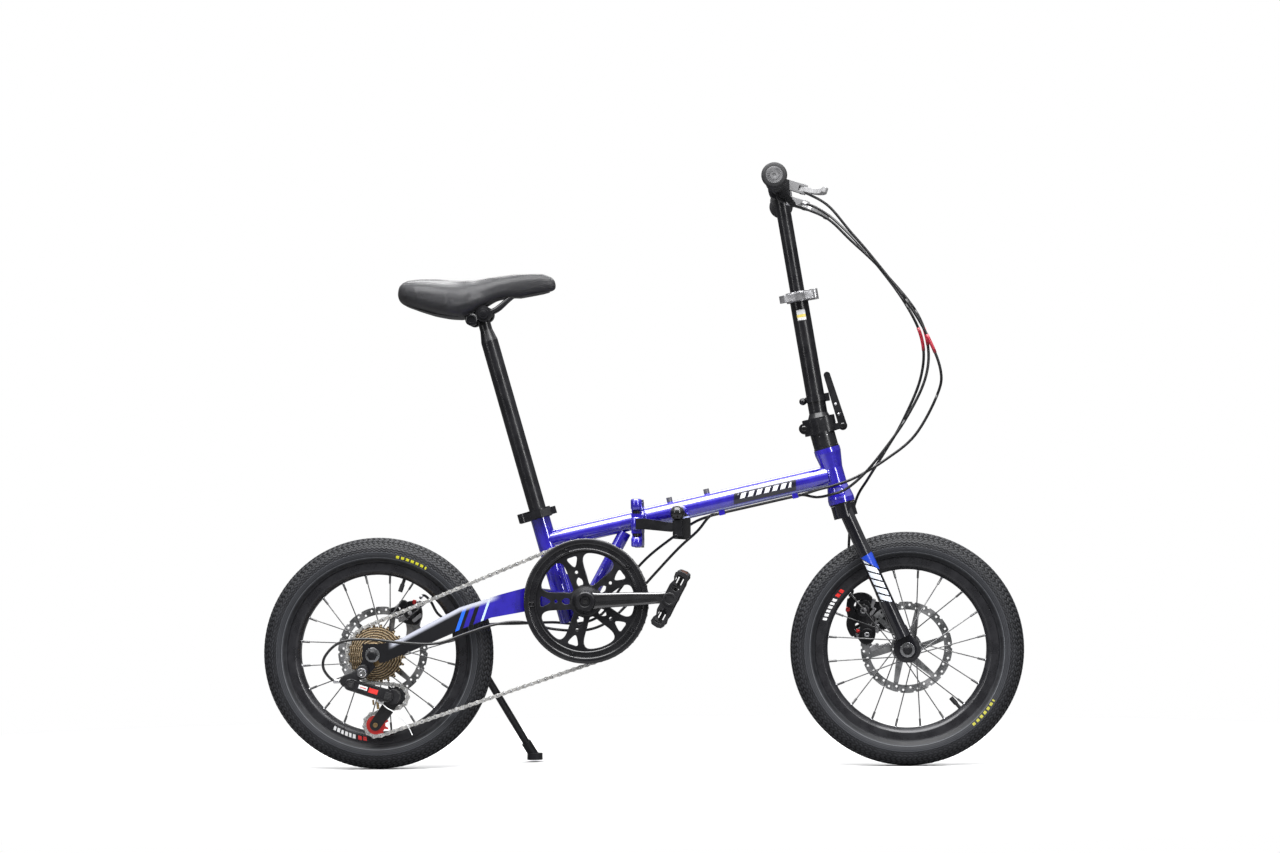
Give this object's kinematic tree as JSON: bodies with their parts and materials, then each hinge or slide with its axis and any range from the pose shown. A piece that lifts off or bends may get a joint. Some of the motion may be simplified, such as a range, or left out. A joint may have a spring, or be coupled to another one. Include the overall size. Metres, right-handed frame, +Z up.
{
  "type": "folding bicycle",
  "caption": "Small-wheeled folding bicycle: hinged main tube, folding handlepost, telescopic seatpost, derailleur gears, disc brakes, kickstand.",
  "frame": {"origin": "on the ground, half way between the two axles, in the middle plane of the wheels", "axes": "+X forward along the bicycle, +Y to the rider's left, +Z up"},
  "size_m": [1.33, 0.568, 1.0236],
  "materials": {
    "frame_blue": "gloss metallic",
    "black_metal": "gloss",
    "black_plastic": "moulded",
    "saddle_skin": "fine grain",
    "grip_rubber": "matte",
    "tyre": "matte",
    "rim_black": "anodised satin",
    "steel": "satin",
    "polished": "polished",
    "bronze": "brown zinc",
    "red_plastic": "moulded"
  },
  "bodies": {
    "rear_frame": {"rear_frame": "frame_blue", "bb_cartridge": "steel", "frame_hinge_pin": "steel", "seat_collar": "black_metal", "rear_axle": "steel", "rear_caliper": "black_metal", "derailleur": "black_plastic", "chain": "steel"},
    "front_frame": {"front_frame": "frame_blue", "headset": "steel", "rear_brake_cable": "grip_rubber", "shift_cable": "grip_rubber"},
    "frame_latch": {"frame_latch": "black_metal"},
    "fork": {"fork": "black_metal", "post_base": "black_metal", "front_axle": "steel", "front_caliper": "black_metal", "front_brake_cable": "grip_rubber"},
    "handlepost": {"handlepost": "black_metal", "post_collar": "polished"},
    "post_latch": {"post_latch": "black_metal"},
    "post_collar_lever": {"post_collar_lever": "polished"},
    "upper_post": {"inner_post": "black_metal", "handlebar": "black_metal", "grips": "grip_rubber", "bar_controls": "black_plastic"},
    "brake_lever_left": {"brake_lever_left": "polished"},
    "brake_lever_right": {"brake_lever_right": "polished"},
    "shift_lever": {"shift_lever": "black_plastic"},
    "front_caliper_arm": {"front_caliper_arm": "polished"},
    "rear_caliper_arm": {"rear_caliper_arm": "polished"},
    "front_wheel": {"front_hub": "rim_black", "front_spokes": "steel", "front_rim": "rim_black", "front_tyre": "tyre", "front_tube": "grip_rubber", "front_rotor": "steel"},
    "rear_wheel": {"rear_hub": "rim_black", "rear_spokes": "steel", "rear_rim": "rim_black", "rear_tyre": "tyre", "rear_tube": "grip_rubber", "rear_rotor": "steel"},
    "seatpost": {"seatpost": "black_metal"},
    "seat_collar_lever": {"seat_collar_lever": "black_metal"},
    "saddle": {"saddle_pad": "saddle_skin", "saddle_base": "black_plastic", "saddle_clamp": "black_metal"},
    "freewheel": {"freewheel": "bronze"},
    "crank": {"crank_right": "black_metal", "chainring": "black_plastic", "crank_left": "black_metal"},
    "pedal_right": {"pedal_right": "black_plastic"},
    "pedal_left": {"pedal_left": "black_plastic"},
    "derailleur_link": {"derailleur_link": "steel"},
    "derailleur_knuckle": {"derailleur_knuckle": "black_plastic"},
    "derailleur_cage": {"derailleur_cage": "black_plastic"},
    "jockey_upper": {"jockey_upper": "black_plastic"},
    "jockey_lower": {"jockey_lower": "red_plastic"},
    "kickstand": {"kickstand": "black_metal"}
  },
  "joints": [
    {"name": "frame_fold", "type": "hinge", "parent": "rear_frame", "child": "front_frame", "pos_m": [-0.003, 0.036, 0.424], "axis": [0, 0, 1], "range_deg": [0, 135], "deforming": ["rear_brake_cable", "shift_cable"]},
    {"name": "frame_latch_turn", "type": "hinge", "parent": "front_frame", "child": "frame_latch", "pos_m": [-0.003, -0.037, 0.424], "axis": [0, 0, -1], "range_deg": [0, 80]},
    {"name": "steer", "type": "hinge", "parent": "front_frame", "child": "fork", "pos_m": [0.3535, 0, 0.457], "axis": [-0.2588, 0, 0.9659], "range_deg": [-90, 90], "deforming": ["front_brake_cable"]},
    {"name": "post_fold", "type": "hinge", "parent": "fork", "child": "handlepost", "pos_m": [0.28943, 0, 0.58597], "axis": [0, -1, 0], "range_deg": [0, 90]},
    {"name": "post_latch_turn", "type": "hinge", "parent": "fork", "child": "post_latch", "pos_m": [0.35684, 0, 0.5911], "axis": [0, 1, 0], "range_deg": [0, 70]},
    {"name": "post_height", "type": "slide", "parent": "handlepost", "child": "upper_post", "axis": [-0.1564, 0, 0.9877], "range_m": [-0.1, 0.025]},
    {"name": "post_collar_turn", "type": "hinge", "parent": "handlepost", "child": "post_collar_lever", "pos_m": [0.30987, -0.0245, 0.82108], "axis": [-0.1564, 0, 0.9877], "range_deg": [0, 120]},
    {"name": "brake_left", "type": "hinge", "parent": "upper_post", "child": "brake_lever_left", "pos_m": [0.294, 0.146, 0.99069], "axis": [0.309, 0, 0.9511], "range_deg": [0, 16]},
    {"name": "brake_right", "type": "hinge", "parent": "upper_post", "child": "brake_lever_right", "pos_m": [0.294, -0.146, 0.99069], "axis": [-0.309, 0, -0.9511], "range_deg": [0, 16]},
    {"name": "shift_turn", "type": "hinge", "parent": "upper_post", "child": "shift_lever", "pos_m": [0.2612, -0.109, 0.98728], "axis": [0, 1, 0], "range_deg": [0, 50]},
    {"name": "front_caliper_turn", "type": "hinge", "parent": "fork", "child": "front_caliper_arm", "pos_m": [0.388, 0.062, 0.268], "axis": [0, 1, 0], "range_deg": [0, 32]},
    {"name": "rear_caliper_turn", "type": "hinge", "parent": "rear_frame", "child": "rear_caliper_arm", "pos_m": [-0.411, 0.071, 0.271], "axis": [0, -1, 0], "range_deg": [0, 32]},
    {"name": "front_wheel_spin", "type": "hinge", "parent": "fork", "child": "front_wheel", "pos_m": [0.4625, 0, 0.2025], "axis": [0, 1, 0], "continuous": true},
    {"name": "rear_wheel_spin", "type": "hinge", "parent": "rear_frame", "child": "rear_wheel", "pos_m": [-0.4625, 0, 0.2025], "axis": [0, 1, 0], "continuous": true},
    {"name": "seat_height", "type": "slide", "parent": "rear_frame", "child": "seatpost", "axis": [-0.2656, 0, 0.9641], "range_m": [-0.22, 0.03]},
    {"name": "seat_collar_turn", "type": "hinge", "parent": "rear_frame", "child": "seat_collar_lever", "pos_m": [-0.204, -0.0245, 0.43633], "axis": [0.2656, 0, -0.9641], "range_deg": [0, 120]},
    {"name": "saddle_tilt", "type": "hinge", "parent": "seatpost", "child": "saddle", "pos_m": [-0.268, 0, 0.795], "axis": [0, 1, 0], "range_deg": [-10, 10]},
    {"name": "crank_spin", "type": "hinge", "parent": "rear_frame", "child": "crank", "pos_m": [-0.091, 0, 0.292], "axis": [0, 1, 0], "continuous": true, "deforming": ["chain"]},
    {"name": "freewheel_spin", "type": "hinge", "parent": "rear_frame", "child": "freewheel", "pos_m": [-0.4625, -0.045, 0.2025], "axis": [0, 1, 0], "continuous": true},
    {"name": "pedal_right_spin", "type": "hinge", "parent": "crank", "child": "pedal_right", "pos_m": [0.06091, -0.13, 0.2973], "axis": [0, 1, 0], "continuous": true},
    {"name": "pedal_left_spin", "type": "hinge", "parent": "crank", "child": "pedal_left", "pos_m": [-0.24291, 0.13, 0.28669], "axis": [0, 1, 0], "continuous": true},
    {"name": "derailleur_swing", "type": "hinge", "parent": "rear_frame", "child": "derailleur_link", "pos_m": [-0.5, -0.08, 0.152], "axis": [-0.3363, 0, -0.9417], "range_deg": [0, 25]},
    {"name": "derailleur_parallel", "type": "hinge", "parent": "derailleur_link", "child": "derailleur_knuckle", "pos_m": [-0.444, -0.058, 0.132], "axis": [-0.3363, 0, -0.9417], "range_deg": [-25, 0]},
    {"name": "cage_swing", "type": "hinge", "parent": "derailleur_knuckle", "child": "derailleur_cage", "pos_m": [-0.428, -0.043, 0.128], "axis": [0, 1, 0], "range_deg": [-15, 40]},
    {"name": "jockey_upper_spin", "type": "hinge", "parent": "derailleur_cage", "child": "jockey_upper", "pos_m": [-0.428, -0.0312, 0.128], "axis": [0, 1, 0], "continuous": true},
    {"name": "jockey_lower_spin", "type": "hinge", "parent": "derailleur_cage", "child": "jockey_lower", "pos_m": [-0.4635, -0.0312, 0.079], "axis": [0, 1, 0], "continuous": true},
    {"name": "kickstand_turn", "type": "hinge", "parent": "rear_frame", "child": "kickstand", "pos_m": [-0.312, 0.076, 0.207], "axis": [0, 1, 0], "range_deg": [0, 105]}
  ],
  "couplings": [
    {"joint": "freewheel_spin", "follows": "crank_spin", "ratio": 2.08},
    {"joint": "front_caliper_turn", "follows": "brake_left", "ratio": 2},
    {"joint": "rear_caliper_turn", "follows": "brake_right", "ratio": 2},
    {"joint": "derailleur_swing", "follows": "shift_turn", "ratio": 0.5},
    {"joint": "derailleur_parallel", "follows": "shift_turn", "ratio": -0.5}
  ]
}
